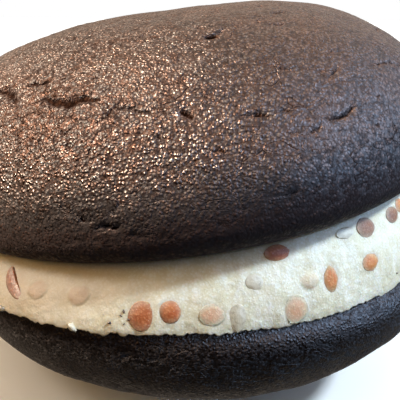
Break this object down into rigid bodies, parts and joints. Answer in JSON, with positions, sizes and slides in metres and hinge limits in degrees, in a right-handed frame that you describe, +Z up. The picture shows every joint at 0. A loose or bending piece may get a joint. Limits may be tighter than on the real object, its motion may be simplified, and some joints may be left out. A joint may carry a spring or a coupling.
{
  "type": "whoopie pie",
  "caption": "Two soft domed cocoa cakes round a thick wedge of cream filling with candy beads in its side.",
  "frame": {"origin": "on the table under the middle of the pie, level with the flat spot it stands on", "axes": "+Z up through both cakes; -Y is the side where the cream shows best; +X is the side where the cream is thickest"},
  "size_m": [0.09, 0.0913, 0.0624],
  "materials": {
    "upper_crust": "dark cocoa cake, finely pebbled, soft sheen",
    "lower_crust": "dark cocoa cake, finely pebbled, soft sheen",
    "cream": "ivory cream, smooth and slightly grainy"
  },
  "bodies": {
    "root": {"top_cake": "upper_crust", "bottom_cake": "lower_crust", "cream_filling": "cream"}
  },
  "joints": []
}
